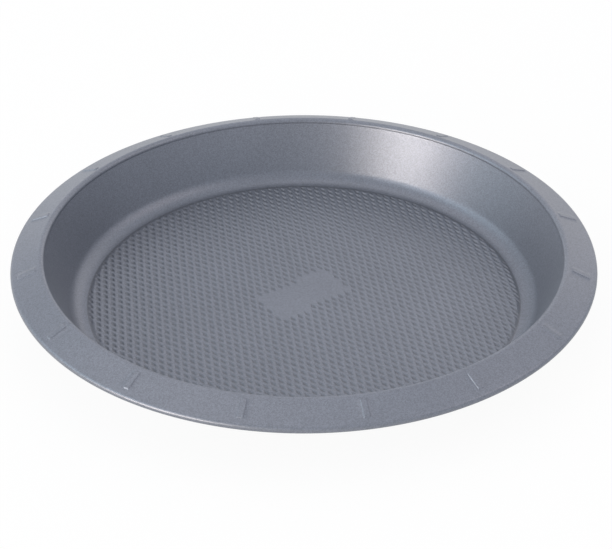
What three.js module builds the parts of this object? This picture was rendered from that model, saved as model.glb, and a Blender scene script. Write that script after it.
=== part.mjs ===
// A round baking pan: one sheet of steel, pressed into a flat floor, a flared wall, a round lip with a fine
// crease under it, and a falling flange with pressed ribs and a rolled edge. A non-stick coat covers the
// baking side.
// Millimetres, +Z up. The origin is under the middle of the base.

import * as THREE from 'three';

// Driving dimensions. Radii at bends are those of the tighter side of the sheet.
const steelThickness = 0.75;
const coatThickness = 0.05;
const floorDiameter = 211.7;
const insideDepth = 30.2;
const wallAngle = THREE.MathUtils.degToRad(67);
const coveRadius = 9;
const creaseRadius = 0.3;
const lipRiseAngle = THREE.MathUtils.degToRad(92);
const lipInnerRadius = 1.25;
const flangeWidth = 13.39;
const flangeFall = THREE.MathUtils.degToRad(22.2);
const rollInnerRadius = 1;
const rollGap = 0.45;
const ribCount = 16;
const ribWidth = 3.2;
const ribHeight = 0.5;
const ribLipMargin = 1.1;
const ribRollMargin = 2.3;
const ribEndLength = 1;

// How finely the round forms are faceted.
const coveSteps = 4;
const creaseSteps = 1;
const lipSteps = 3;
const rollSteps = 6;
const coatedRollSteps = 3;
const plainSteps = 2;

// Sizes that follow from the driving dimensions.
const lipRadius = lipInnerRadius + steelThickness;
const rollRadius = rollInnerRadius + steelThickness;
const coveRise = coveRadius * (1 - Math.cos(wallAngle));
const creaseRise = creaseRadius * (Math.cos(wallAngle) - Math.cos(lipRiseAngle));
const lipRise = lipRadius * (1 - Math.cos(lipRiseAngle));
const wallLength = (insideDepth - coveRise - creaseRise - lipRise) / Math.sin(wallAngle);
const ribLength = flangeWidth - ribLipMargin - ribRollMargin;
// The edge rolls on until its end is one gap short of the flange's underside.
const rollTurn = 2 * Math.PI - Math.acos((rollInnerRadius - rollGap) / rollRadius);

// The pressed section: the steel's upper face as straights and bends, from the axis outwards.
// Each stop keeps its place, its heading and the share of the ribs' height that it takes.
function pressedSection() {
  const stops = [];
  let radius = 0;
  let height = steelThickness;
  let heading = 0;

  function mark(ribShare) {
    stops.push({ radius, height, heading, ribShare });
  }

  function straight(length, ribShare = 0) {
    radius += length * Math.cos(heading);
    height += length * Math.sin(heading);
    mark(ribShare);
  }

  function bend(bendRadius, turn, steps) {
    const stepTurn = turn / steps;
    const chord = 2 * bendRadius * Math.sin(Math.abs(stepTurn) / 2);
    for (let step = 0; step < steps; step += 1) {
      radius += chord * Math.cos(heading + stepTurn / 2);
      height += chord * Math.sin(heading + stepTurn / 2);
      heading += stepTurn;
      mark(0);
    }
  }

  mark(0);
  straight(floorDiameter / 2);
  bend(coveRadius, wallAngle, coveSteps);
  straight(wallLength);
  bend(creaseRadius, lipRiseAngle - wallAngle, creaseSteps);
  bend(lipRadius, -(lipRiseAngle + flangeFall), lipSteps);
  straight(ribLipMargin);
  straight(ribEndLength, 1);
  straight(ribLength - 2 * ribEndLength, 1);
  straight(ribEndLength);
  straight(ribRollMargin);
  bend(rollRadius, -rollTurn, rollSteps);
  return stops;
}

// Where the ribs are, as angles from the front: a rib stands in the middle of each equal share
// of the circle, and every share starts half-way between two ribs.
function ribStations(ribRadius) {
  const halfShare = Math.PI / ribCount;
  const halfRib = ribWidth / 2 / ribRadius;
  const plainStep = (halfShare - halfRib) / plainSteps;
  const stations = [];
  for (let rib = 0; rib < ribCount; rib += 1) {
    const middle = (2 * rib + 1) * halfShare;
    for (let step = 0; step <= plainSteps; step += 1) {
      stations.push({ angle: middle - halfShare + step * plainStep, crest: 0 });
    }
    stations.push({ angle: middle, crest: 1 });
    for (let step = 0; step < plainSteps; step += 1) {
      stations.push({ angle: middle + halfRib + step * plainStep, crest: 0 });
    }
  }
  stations.push({ angle: 2 * Math.PI, crest: 0 });
  return stations;
}

const section = pressedSection();
const ribStops = section.filter((stop) => stop.ribShare === 1);
const stations = ribStations((ribStops[0].radius + ribStops[1].radius) / 2);

// One face of a layer: the section moved square to the sheet by the given offset.
function layerFace(stops, offset) {
  return stops.map((stop) => ({
    radius: stop.radius - offset * Math.sin(stop.heading),
    height: stop.height + offset * Math.cos(stop.heading),
    ribShare: stop.ribShare,
  }));
}

// A layer of the sheet between two offsets, turned about the axis and then pressed: the lathe's
// columns move to the stations and its flange rows rise at the ribs. Each quad of an upper face is
// split along the same diagonal as the quad under it, so that two layers meet face to face.
function pressedLayer(stops, lowerOffset, upperOffset) {
  const outline = [...layerFace(stops, lowerOffset), ...layerFace(stops, upperOffset).reverse()];
  const profile = outline.map((point) => new THREE.Vector2(point.radius, point.height));
  const geometry = new THREE.LatheGeometry(profile, stations.length - 1);
  const position = geometry.getAttribute('position');
  const triangles = [];
  stations.forEach((station, column) => {
    outline.forEach((point, row) => {
      const here = column * outline.length + row;
      const beside = here + outline.length;
      position.setXYZ(
        here,
        point.radius * Math.sin(station.angle),
        -point.radius * Math.cos(station.angle),
        point.height + ribHeight * point.ribShare * station.crest,
      );
      if (column === stations.length - 1 || row === outline.length - 1) {
        return;
      }
      if (row < stops.length) {
        triangles.push(here, beside, here + 1, beside + 1, here + 1, beside);
      } else {
        triangles.push(here, beside, beside + 1, here, beside + 1, here + 1);
      }
    });
  });
  geometry.setIndex(triangles);
  geometry.computeVertexNormals();
  return geometry;
}

function piece(name, geometry, color, roughness, metalness) {
  const mesh = new THREE.Mesh(geometry, new THREE.MeshStandardMaterial({ color, roughness, metalness }));
  mesh.name = name;
  return mesh;
}

const coatedStops = section.slice(0, section.length - rollSteps + coatedRollSteps);

const pan = new THREE.Group();
pan.add(piece('pressed_shell', pressedLayer(section, -steelThickness, 0), 0x8a8f97, 0.5, 0.7));
pan.add(piece('inside_coating', pressedLayer(coatedStops, 0, coatThickness), 0x757a83, 0.45, 0.4));

export default pan;
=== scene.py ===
"""A round baking pan in grey non-stick steel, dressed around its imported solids.

Sizes are in millimetres, as on the pan, and every mesh is scaled to metres when it is made.
"""

import math

import bmesh
import bpy
import numpy as np
from mathutils import Matrix, Vector


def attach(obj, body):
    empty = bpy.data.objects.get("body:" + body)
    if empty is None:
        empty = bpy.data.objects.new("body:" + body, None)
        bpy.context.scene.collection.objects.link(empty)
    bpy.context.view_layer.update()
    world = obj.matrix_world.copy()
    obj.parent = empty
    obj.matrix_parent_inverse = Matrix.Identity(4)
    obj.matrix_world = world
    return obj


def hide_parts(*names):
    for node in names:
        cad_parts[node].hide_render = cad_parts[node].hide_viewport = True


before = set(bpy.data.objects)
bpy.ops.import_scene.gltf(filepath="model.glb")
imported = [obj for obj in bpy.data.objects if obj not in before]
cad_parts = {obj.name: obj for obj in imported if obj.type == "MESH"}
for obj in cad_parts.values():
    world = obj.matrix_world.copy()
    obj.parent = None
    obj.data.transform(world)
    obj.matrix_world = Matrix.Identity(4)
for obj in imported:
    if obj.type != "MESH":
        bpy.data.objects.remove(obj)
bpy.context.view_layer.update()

MM = 0.001

# The pressed sheet, as it was built.
STEEL = 0.75
COAT = 0.05
FLOOR_TOP = STEEL + COAT
FLOOR_RADIUS = 105.85
INSIDE_DEPTH = 30.2
WALL_ANGLE = math.radians(67)
COVE_RADIUS = 9.0
FLANGE_WIDTH = 13.39
FLANGE_FALL = math.radians(22.2)
ROLL_HOLLOW = 1.0
ROLL_RADIUS = ROLL_HOLLOW + STEEL
ROLL_GAP = 0.45
ROLL_TURN = 2 * math.pi - math.acos((ROLL_HOLLOW - ROLL_GAP) / ROLL_RADIUS)
COATED_SHARE_OF_ROLL = 0.5

# The lip stands a little proud of the wall, with a fine crease under it.
LIP_RADIUS = 2.0
LIP_RISE_ANGLE = math.radians(92)
CREASE_RADIUS = 0.3

# The ribs pressed up round the flange.
RIB_COUNT = 16
RIB_WIDTH = 3.2
RIB_FLANK = 0.5
RIB_HEIGHT = 0.5
RIB_LIP_MARGIN = 1.1
RIB_ROLL_MARGIN = 2.3
RIB_INNER_END = 1.0
RIB_OUTER_END = 0.5

# The pockets pressed into the floor: one to each cell of a rhombic lattice, and slimmer than its cell. The
# lattice is turned on the floor, and a plain oblong is left in the middle. Round the lattice the floor falls
# to the pockets' depth, where the cove begins. On the underside the pattern shows through faintly.
POCKET_PITCH = 4.0
POCKET_ROW_STEP = 3.92
POCKET_DEPTH = 0.5
POCKET_SLOPE_RUN = 1.2
POCKET_SLIMNESS = 1.4
RIDGE_HALF_WIDTH = 0.2
POCKET_TURN = math.radians(33.2)
POCKET_SHIFT = np.array([1.3, 0.65])
PLAIN_SIZE = np.array([42.0, 23.0])
PLAIN_TURN = math.radians(37.2)
PLAIN_MIDDLE = np.array([-0.7, -0.7])
FIELD_EDGE_RUN = 2.6
FIELD_EDGE_MARGIN = 0.1
UNDERSIDE_RELIEF = 0.05

# How fine the meshes are. The fill is the narrow strip between the pockets' grid and the cove's first ring.
COVE_ROWS = 18
WALL_ROWS = 10
CREASE_ROWS = 6
LIP_ROWS = 20
FLANGE_ROWS = 80
ROLL_ROWS = 24
RIB_COLUMNS = 32
PLAIN_COLUMNS = 18
TOP_CELL_STEPS = 12
UNDERSIDE_CELL_STEPS = 5
FILL_WIDTH = 0.2
SHARP_ANGLE = math.radians(60)


def smooth_rise(share):
    """0 below 0, 1 above 1, and an S-shaped rise between."""
    share = np.clip(share, 0.0, 1.0)
    return share * share * (3.0 - 2.0 * share)


class Section:
    """The upper face of the sheet, drawn from the floor's edge outwards as straights and bends."""

    def __init__(self, radius, height):
        self.radius, self.height, self.heading = radius, height, 0.0
        self.stops = []
        self.mark(0.0)

    def mark(self, rib_share):
        self.stops.append((self.radius, self.height, self.heading, rib_share))

    def straight(self, length, rows, rib_share=lambda along: 0.0):
        step = length / rows
        for row in range(1, rows + 1):
            self.radius += step * math.cos(self.heading)
            self.height += step * math.sin(self.heading)
            self.mark(rib_share(row * step))

    def bend(self, radius, turn, rows):
        step = turn / rows
        chord = 2 * radius * math.sin(abs(step) / 2)
        for _ in range(rows):
            self.radius += chord * math.cos(self.heading + step / 2)
            self.height += chord * math.sin(self.heading + step / 2)
            self.heading += step
            self.mark(0.0)


def rib_share_along_flange(along):
    """How much of its height a rib has at a distance from the lip, along the flange."""
    from_lip = smooth_rise((along - RIB_LIP_MARGIN) / RIB_INNER_END)
    from_roll = smooth_rise((FLANGE_WIDTH - RIB_ROLL_MARGIN - along) / RIB_OUTER_END)
    return float(from_lip * from_roll)


def pressed_section(floor_sink):
    """The section from the foot of the cove outwards, with a floor that lies lower by the given sink. The
    wall stays where it is, so a lower cove begins further in."""
    section = Section(FLOOR_RADIUS - floor_sink / math.tan(WALL_ANGLE), STEEL - floor_sink)
    section.bend(COVE_RADIUS, WALL_ANGLE, COVE_ROWS)
    crease_rise = CREASE_RADIUS * (math.cos(WALL_ANGLE) - math.cos(LIP_RISE_ANGLE))
    lip_rise = LIP_RADIUS * (1 - math.cos(LIP_RISE_ANGLE))
    wall_rise = INSIDE_DEPTH + STEEL - section.height - crease_rise - lip_rise
    section.straight(wall_rise / math.sin(WALL_ANGLE), WALL_ROWS)
    section.bend(CREASE_RADIUS, LIP_RISE_ANGLE - WALL_ANGLE, CREASE_ROWS)
    section.bend(LIP_RADIUS, -(LIP_RISE_ANGLE + FLANGE_FALL), LIP_ROWS)
    section.straight(FLANGE_WIDTH, FLANGE_ROWS, rib_share_along_flange)
    section.bend(ROLL_RADIUS, -ROLL_TURN, ROLL_ROWS)
    return np.array(section.stops)


SECTION = pressed_section(0.0)
TOP_SECTION = pressed_section(POCKET_DEPTH)
TOP_FLOOR_RADIUS = TOP_SECTION[0, 0]
COATED_ROWS = len(SECTION) - round(ROLL_ROWS * (1 - COATED_SHARE_OF_ROLL))


def face_rows(stops, offset):
    """Radius, height and rib share of each row of a face that lies a given distance above the sheet."""
    radius, height, heading, share = stops.T
    return np.column_stack([radius - offset * np.sin(heading), height + offset * np.cos(heading), share])


def flange_columns():
    """The angle of each column of vertices, and the share of the ribs' height that it takes."""
    half_share = math.pi / RIB_COUNT
    radius, _, _, rib_share = SECTION.T
    rib_radius = radius[rib_share > rib_share.max() / 2].mean()
    half_rib = RIB_WIDTH / 2 / rib_radius
    plain = np.linspace(half_rib, 2 * half_share - half_rib, PLAIN_COLUMNS + 1)
    across = np.linspace(-half_rib, half_rib, RIB_COLUMNS + 1)[1:-1]
    angles = np.concatenate([across, plain])
    crests = smooth_rise((half_rib - abs(angles)) * rib_radius / RIB_FLANK)
    starts = (2 * np.arange(RIB_COUNT) + 1) * half_share
    return (starts[:, None] + angles).ravel(), np.tile(crests, RIB_COUNT)


ANGLES, CRESTS = flange_columns()


class MeshParts:
    """Vertices and faces of one closed mesh, gathered piece by piece."""

    def __init__(self):
        self.points, self.faces, self.count = [], [], 0

    def add_points(self, points):
        """Keeps more vertices and returns the number of the first."""
        first = self.count
        self.points.append(np.asarray(points, float).reshape(-1, 3))
        self.count += len(self.points[-1])
        return first

    def add_rows(self, rows):
        """Rings of vertices about the pan's axis, pressed up at the ribs. Returns their numbers."""
        radius, height, share = rows.T[:, :, None]
        rings = np.stack(
            [
                radius * np.sin(ANGLES),
                -radius * np.cos(ANGLES),
                height + RIB_HEIGHT * share * CRESTS,
            ],
            axis=-1,
        )
        first = self.add_points(rings)
        return first + np.arange(rings.shape[0] * rings.shape[1]).reshape(rings.shape[:2])

    def join_rows(self, rows):
        """Quads between neighbouring rings. Rings that run outwards face up."""
        here, there = rows[:-1], rows[1:]
        quads = np.stack([here, there, np.roll(there, -1, 1), np.roll(here, -1, 1)], axis=-1)
        self.faces.extend(quads.reshape(-1, 4).tolist())

    def fan(self, ring, centre):
        """Triangles from a ring to a point on the axis."""
        middle = self.add_points([centre])
        self.faces.extend([int(a), int(b), middle] for a, b in zip(ring, np.roll(ring, -1)))

    def add_patch(self, points, quads):
        """Keeps a patch of quads and returns the number of its first vertex."""
        first = self.add_points(points)
        self.faces.extend((quads + first).tolist())
        return first

    def make(self, name):
        mesh = bpy.data.meshes.new(name)
        mesh.from_pydata((np.concatenate(self.points) * MM).tolist(), [], self.faces)
        return mesh


def turned_axes(turn):
    """Two square directions on the floor, turned from the right towards the back."""
    return np.array([[math.cos(turn), math.sin(turn)], [-math.sin(turn), math.cos(turn)]])


def pocket_field(cell_steps, reach):
    """A grid of quads that follows the pockets' rows, out to a radius: its points on the floor, its
    quads, and how deep in a pocket each point lies, from 0 on the land to 1 at a pocket's bottom."""
    along, across = turned_axes(POCKET_TURN)
    sides = np.array(
        [
            POCKET_PITCH / 2 * along + POCKET_ROW_STEP * across,
            POCKET_PITCH / 2 * along - POCKET_ROW_STEP * across,
        ]
    )
    cells = math.ceil(2 * reach / POCKET_PITCH)
    steps = np.arange(-cells * cell_steps, cells * cell_steps + 1)
    lattice = np.stack(np.meshgrid(steps, steps, indexing="ij"), axis=-1) / cell_steps
    place = lattice @ sides + POCKET_SHIFT
    radius = np.hypot(place[..., 0], place[..., 1])

    cell = np.floor(lattice)
    centre = (cell + 0.5) @ sides + POCKET_SHIFT
    from_plain = abs((centre - PLAIN_MIDDLE) @ turned_axes(PLAIN_TURN).T)
    in_plain = (from_plain < PLAIN_SIZE / 2).all(axis=-1)

    # Within a cell: its two sides' shares from the centre, whose sum runs along the short diagonal.
    first, second = np.moveaxis(lattice - cell - 0.5, -1, 0)
    cell_height = POCKET_PITCH * POCKET_ROW_STEP / math.hypot(POCKET_PITCH / 2, POCKET_ROW_STEP)
    from_ridge = cell_height / 2 * (1 - POCKET_SLIMNESS * abs(first + second) - abs(first - second))
    depth = smooth_rise((from_ridge - RIDGE_HALF_WIDTH) / POCKET_SLOPE_RUN)
    depth[in_plain] = 0.0
    from_cove = TOP_FLOOR_RADIUS - FIELD_EDGE_MARGIN - radius
    depth = np.maximum(depth, 1 - smooth_rise(from_cove / FIELD_EDGE_RUN))

    inside = radius < reach
    kept = inside[:-1, :-1] & inside[1:, :-1] & inside[1:, 1:] & inside[:-1, 1:]
    number = np.arange(steps.size**2).reshape(steps.size, steps.size)
    corners = [number[:-1, :-1], number[1:, :-1], number[1:, 1:], number[:-1, 1:]]
    quads = np.stack([corner[kept] for corner in corners], axis=-1)[:, ::-1]
    used, quads = np.unique(quads, return_inverse=True)
    return place.reshape(-1, 2)[used], quads.reshape(-1, 4), depth.ravel()[used]


def rim_edges(quads):
    """The edges that only one quad has, which run round the outside of a field."""
    edges = np.concatenate([quads[:, [i, (i + 1) % 4]] for i in range(4)])
    pairs, count = np.unique(np.sort(edges, axis=1), axis=0, return_counts=True)
    return pairs[count == 1]


def ring_edges(ring):
    """The edges of a closed ring of vertices."""
    return np.column_stack([ring, np.roll(ring, -1)])


def fill_flat_ring(mesh, edges):
    """Fills the flat strip between two closed loops of edges, which closes the mesh, and turns all
    faces outwards."""
    work = bmesh.new()
    work.from_mesh(mesh)
    work.verts.ensure_lookup_table()
    loops = []
    for a, b in edges:
        ends = work.verts[a], work.verts[b]
        loops.append(work.edges.get(ends) or work.edges.new(ends))
    bmesh.ops.triangle_fill(work, use_beauty=True, edges=loops, normal=(0, 0, 1))
    bmesh.ops.recalc_face_normals(work, faces=work.faces)
    work.to_mesh(mesh)
    work.free()


def finish_mesh(mesh, name, pocket_depths=None):
    """Smooth shading with sharp edges only where the sheet ends, and the pocket depths, which the coat's
    finish uses as the mask of its painted shade.
    """
    mesh.shade_smooth()
    mesh.set_sharp_from_angle(angle=SHARP_ANGLE)
    if pocket_depths is not None:
        layer = mesh.attributes.new("pocket", "FLOAT", "POINT")
        layer.data.foreach_set("value", pocket_depths)
    piece = bpy.data.objects.new(name, mesh)
    bpy.context.scene.collection.objects.link(piece)
    return piece


def back_of_coat_rows():
    """The face where coat and steel meet. In the cove it lies half-way between the pan's two faces."""
    rows = face_rows(SECTION[:COATED_ROWS], 0.0)
    upper, lower = face_rows(TOP_SECTION, COAT), face_rows(SECTION, -STEEL)
    rows[:COVE_ROWS] = (upper + lower)[:COVE_ROWS] / 2
    return rows


def build_coat():
    parts = MeshParts()
    back = back_of_coat_rows()
    top_rings = parts.add_rows(face_rows(TOP_SECTION[:COATED_ROWS], COAT))
    back_rings = parts.add_rows(back)
    parts.join_rows(top_rings)
    parts.join_rows(np.vstack([top_rings[-1:], back_rings[::-1]]))
    parts.fan(back_rings[0][::-1], (0, 0, back[0, 1]))

    place, quads, depth = pocket_field(TOP_CELL_STEPS, TOP_FLOOR_RADIUS - FILL_WIDTH)
    heights = FLOOR_TOP - POCKET_DEPTH * depth
    first = parts.add_patch(np.column_stack([place, heights]), quads)
    mesh = parts.make("coat")
    fill_flat_ring(mesh, np.vstack([rim_edges(quads) + first, ring_edges(top_rings[0])]))
    pocket = np.zeros(len(mesh.vertices))
    pocket[first : first + len(depth)] = depth
    return finish_mesh(mesh, "coat", pocket)


def build_shell():
    parts = MeshParts()
    hidden = back_of_coat_rows()
    bare = face_rows(SECTION[COATED_ROWS:], 0.0)
    top_rings = parts.add_rows(np.vstack([hidden, bare]))
    under_rings = parts.add_rows(face_rows(SECTION, -STEEL))
    parts.join_rows(top_rings)
    parts.join_rows(np.vstack([top_rings[-1:], under_rings[::-1]]))
    parts.fan(top_rings[0], (0, 0, hidden[0, 1]))

    place, quads, depth = pocket_field(UNDERSIDE_CELL_STEPS, FLOOR_RADIUS - FILL_WIDTH)
    heights = UNDERSIDE_RELIEF * (1 - depth)
    first = parts.add_patch(np.column_stack([place, heights]), quads[:, ::-1])
    mesh = parts.make("shell")
    fill_flat_ring(mesh, np.vstack([rim_edges(quads) + first, ring_edges(under_rings[0])]))
    return finish_mesh(mesh, "shell")


coat = build_coat()
shell = build_shell()


class Tone:
    """One number of a shader. Arithmetic on tones adds the Math nodes that work it out."""

    def __init__(self, finish, socket):
        self.finish, self.socket = finish, socket

    def _math(self, operation, *values):
        node = self.finish.node("ShaderNodeMath", {"operation": operation}, dict(enumerate(values)))
        return Tone(self.finish, node.outputs[0])

    def __add__(self, other):
        return self._math("ADD", self, other)

    def __radd__(self, other):
        return self._math("ADD", other, self)

    def __sub__(self, other):
        return self._math("SUBTRACT", self, other)

    def __rsub__(self, other):
        return self._math("SUBTRACT", other, self)

    def __mul__(self, other):
        return self._math("MULTIPLY", self, other)

    def __rmul__(self, other):
        return self._math("MULTIPLY", other, self)

    def clipped(self):
        return self._math("MINIMUM", self._math("MAXIMUM", self, 0.0), 1.0)


class Finish:
    """A node tree under construction, for a material or for the world."""

    def __init__(self, owner):
        owner.use_nodes = True
        self.tree = owner.node_tree
        self.tree.nodes.clear()

    def node(self, kind, settings=None, inputs=None):
        """Adds a node: its settings first, then the values or links of its sockets."""
        made = self.tree.nodes.new(kind)
        for name, value in (settings or {}).items():
            setattr(made, name, value)
        for name, value in (inputs or {}).items():
            socket = made.inputs[name]
            source = value.socket if isinstance(value, Tone) else value
            if isinstance(source, bpy.types.NodeSocket):
                self.tree.links.new(source, socket)
            else:
                socket.default_value = source
        return made

    def tone(self, kind, settings=None, inputs=None, output=0):
        return Tone(self, self.node(kind, settings, inputs).outputs[output])

    def colour_mix(self, share, first, second):
        """A colour between two others. Sockets 6 and 7 of the Mix node are its colours."""
        mix = self.node("ShaderNodeMix", {"data_type": "RGBA"}, {0: share, 6: first, 7: second})
        return mix.outputs[2]


def grey_level(value, tint):
    """A colour from a display grey of 0 to 255, taken back along the sRGB curve, with a tint."""
    share = value / 255
    linear = share / 12.92 if share <= 0.04045 else ((share + 0.055) / 1.055) ** 2.4
    return tuple(linear * t for t in tint) + (1.0,)


# The sprayed coat: the size on the pan of its metallic flakes, its mottle and its broad clouds, and the
# share of the range between the dark and the light tone that each of them takes.
FLAKE_SIZE, FLAKE_SHARE = 0.42, 0.9
MOTTLE_SIZE, MOTTLE_SHARE, MOTTLE_DETAIL = 1.6, 0.2, 2.0
CLOUD_SIZE, CLOUD_SHARE, CLOUD_DETAIL = 45.0, 0.4, 1.0
MOTTLE_ROUGHNESS = 0.10
MEAN_NOISE = 0.5
MEAN_SHARE = 0.5
BLUE_GREY = (0.925, 1.0, 1.18)

# The coat's fine orange peel.
PEEL_SIZE, PEEL_HEIGHT, PEEL_DETAIL = 1.1, 0.012, 3.0
PEEL_STRENGTH = 0.5

# Painted shade in the pockets and in the ring at the cove's foot: how much darker than the dark tone, how
# far the tone goes there, and its tint.
POCKET_SHADE_DARKENING = 18
POCKET_SHADE_SHARE = 0.48
POCKET_SHADE_GREY = (0.97, 1.0, 1.08)


def coat_finish(name, dark, light, roughness, metallic):
    """Satin grey coat: fine metallic flakes, a soft mottle, and a darker, warmer tone painted in the pockets
    as their shade.
    """
    material = bpy.data.materials.new(name)
    finish = Finish(material)
    place = finish.node("ShaderNodeTexCoord").outputs["Object"]

    def noise(size, detail):
        inputs = {"Vector": place, "Scale": 1 / (size * MM), "Detail": detail}
        return finish.tone("ShaderNodeTexNoise", None, inputs)

    cells = finish.node("ShaderNodeTexVoronoi", None, {"Vector": place, "Scale": 1 / (FLAKE_SIZE * MM)})
    flake = finish.tone("ShaderNodeSeparateColor", None, {"Color": cells.outputs["Color"]}) - MEAN_NOISE
    mottle = noise(MOTTLE_SIZE, MOTTLE_DETAIL) - MEAN_NOISE
    cloud = noise(CLOUD_SIZE, CLOUD_DETAIL) - MEAN_NOISE
    share = (MEAN_SHARE + FLAKE_SHARE * flake + MOTTLE_SHARE * mottle + CLOUD_SHARE * cloud).clipped()
    colour = finish.colour_mix(share, grey_level(dark, BLUE_GREY), grey_level(light, BLUE_GREY))
    # Painted shade: the coat darkens with the pocket depth, towards each pocket's bottom and in the ring at
    # the cove's foot.
    pocket = finish.tone("ShaderNodeAttribute", {"attribute_name": "pocket"}, output="Fac")
    pocket_shade_tone = grey_level(dark - POCKET_SHADE_DARKENING, POCKET_SHADE_GREY)
    colour = finish.colour_mix(POCKET_SHADE_SHARE * pocket, colour, pocket_shade_tone)

    peel = noise(PEEL_SIZE, PEEL_DETAIL)
    bump = finish.node(
        "ShaderNodeBump",
        None,
        {"Strength": PEEL_STRENGTH, "Distance": PEEL_HEIGHT * MM, "Height": peel},
    )
    shader = finish.node(
        "ShaderNodeBsdfPrincipled",
        None,
        {
            "Base Color": colour,
            "Roughness": roughness + MOTTLE_ROUGHNESS * mottle,
            "Metallic": metallic,
            "Normal": bump.outputs[0],
        },
    )
    finish.node("ShaderNodeOutputMaterial", None, {"Surface": shader.outputs[0]})
    return material


satin_coat = coat_finish("nonstick_coat", dark=112, light=132, roughness=0.38, metallic=0.55)
lacquer = coat_finish("outside_lacquer", dark=100, light=120, roughness=0.5, metallic=0.4)

for piece, material, node, slot in (
    (coat, satin_coat, "inside_coating", "nonstick_coat"),
    (shell, lacquer, "pressed_shell", "coated_steel"),
):
    piece.data.materials.append(material)
    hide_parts(node)
    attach(piece, "root")


# The stage: a pale floor that the camera sees as almost white, with a soft shadow of the pan. Metres.
FLOOR_SIDE = 6.0
FLOOR_PAINT = (0.8, 0.8, 0.8, 1.0)
FLOOR_WHITE = (1.0, 1.0, 1.0, 1.0)
SHADOW_SHARE = 0.06


def build_stage():
    half = FLOOR_SIDE / 2
    corners = [(-half, -half, 0), (half, -half, 0), (half, half, 0), (-half, half, 0)]
    mesh = bpy.data.meshes.new("studio_floor")
    mesh.from_pydata(corners, [], [(0, 1, 2, 3)])
    floor = bpy.data.objects.new("studio_floor", mesh)
    bpy.context.scene.collection.objects.link(floor)
    material = bpy.data.materials.new("studio_floor")
    finish = Finish(material)
    paint = finish.node("ShaderNodeBsdfDiffuse", None, {"Color": FLOOR_PAINT})
    white = finish.node("ShaderNodeEmission", None, {"Color": FLOOR_WHITE})
    rays = finish.node("ShaderNodeLightPath").outputs
    camera = Tone(finish, rays["Is Camera Ray"])
    glossy = Tone(finish, rays["Is Glossy Ray"])
    clear = Tone(finish, rays["Is Transmission Ray"])
    seen = (camera + glossy + clear).clipped()
    surface = finish.node(
        "ShaderNodeMixShader",
        None,
        {0: seen * (1 - SHADOW_SHARE), 1: paint.outputs[0], 2: white.outputs[0]},
    )
    finish.node("ShaderNodeOutputMaterial", None, {"Surface": surface.outputs[0]})
    mesh.materials.append(material)


WORLD_LIGHT = 0.82
WORLD_TINT = (0.944, 0.988, 1.055, 1.0)


def build_world():
    world = bpy.data.worlds.new("studio")
    bpy.context.scene.world = world
    finish = Finish(world)
    soft = finish.node("ShaderNodeBackground", None, {"Color": WORLD_TINT, "Strength": WORLD_LIGHT})
    finish.node("ShaderNodeOutputWorld", None, {"Surface": soft.outputs[0]})


# The softboxes round the pan: azimuth from the front towards the right, elevation, width and height, all
# in degrees as seen from the pan, then the brightness of their face and its tint. Their distance is in
# metres.
SOFTBOXES = {
    "key": (-45, 8.5, 30, 15, 13.2, (1.0, 0.87, 0.74)),
    "key_side": (-62, 8.5, 22, 15, 3.7, (1.0, 0.81, 0.70)),
    "key_left": (-60, 27, 34, 30, 1.75, (0.90, 0.96, 1.0)),
    "left": (-95, 25, 40, 40, 0.83, (0.70, 0.94, 1.0)),
    "back_right": (150, 22, 38, 36, 0.58, (1.0, 0.85, 0.74)),
    "back": (180, 38, 36, 30, 0.28, (1.0, 0.85, 0.79)),
    "back_low": (196, 10, 60, 14, 0.6, (1.0, 0.92, 0.85)),
    "overhead": (216, 68, 40, 40, 0.51, (1.0, 0.88, 0.81)),
    "right": (90, 45, 40, 38, 0.79, (1.0, 0.82, 0.74)),
}
SOFTBOX_DISTANCE = 2.5


def build_softbox(name, azimuth, elevation, width, height, brightness, tint):
    turn, rise = math.radians(azimuth), math.radians(elevation)
    towards = Vector((math.sin(turn) * math.cos(rise), -math.cos(turn) * math.cos(rise), math.sin(rise)))
    data = bpy.data.lights.new(name, "AREA")
    data.shape = "RECTANGLE"
    data.size = 2 * SOFTBOX_DISTANCE * math.tan(math.radians(width) / 2)
    data.size_y = 2 * SOFTBOX_DISTANCE * math.tan(math.radians(height) / 2)
    data.energy = brightness * math.pi * data.size * data.size_y
    data.color = tint
    lamp = bpy.data.objects.new(name, data)
    lamp.location = towards * SOFTBOX_DISTANCE
    lamp.rotation_mode = "QUATERNION"
    lamp.rotation_quaternion = towards.to_track_quat("Z", "Y")
    bpy.context.scene.collection.objects.link(lamp)


build_stage()
build_world()
for name, settings in SOFTBOXES.items():
    build_softbox(name, *settings)


# The camera, fitted to the outer edge, the lip and the floor's edge in the photograph. Its focus is in
# pixels, and it is placed from the middle of the outer edge.
IMAGE_WIDTH = 612
SENSOR = 36.0
CAMERA_FOCUS = 1762
CAMERA_ELEVATION = math.radians(32.8)
EDGE_RADIUS = 140.0
EDGE_HEIGHT = 24.12
CAMERA_DISTANCE = 6.06 * EDGE_RADIUS
CAMERA_ASIDE = 0.0071 * EDGE_RADIUS
CAMERA_LIFT = -0.0755 * EDGE_RADIUS


def build_camera():
    data = bpy.data.cameras.new("camera")
    data.sensor_width = SENSOR
    data.lens = CAMERA_FOCUS / IMAGE_WIDTH * SENSOR
    camera = bpy.data.objects.new("camera", data)
    bpy.context.scene.collection.objects.link(camera)
    cosine, sine = math.cos(CAMERA_ELEVATION), math.sin(CAMERA_ELEVATION)
    right = Vector((1, 0, 0))
    up = Vector((0, sine, cosine))
    back = Vector((0, -cosine, sine))
    place = Vector((0, 0, EDGE_HEIGHT)) + back * CAMERA_DISTANCE + right * CAMERA_ASIDE + up * CAMERA_LIFT
    axes = Matrix((right, up, back)).transposed()
    camera.matrix_world = Matrix.Translation(place * MM) @ axes.to_4x4()
    bpy.context.scene.camera = camera


build_camera()
bpy.context.scene.view_settings.view_transform = "Standard"
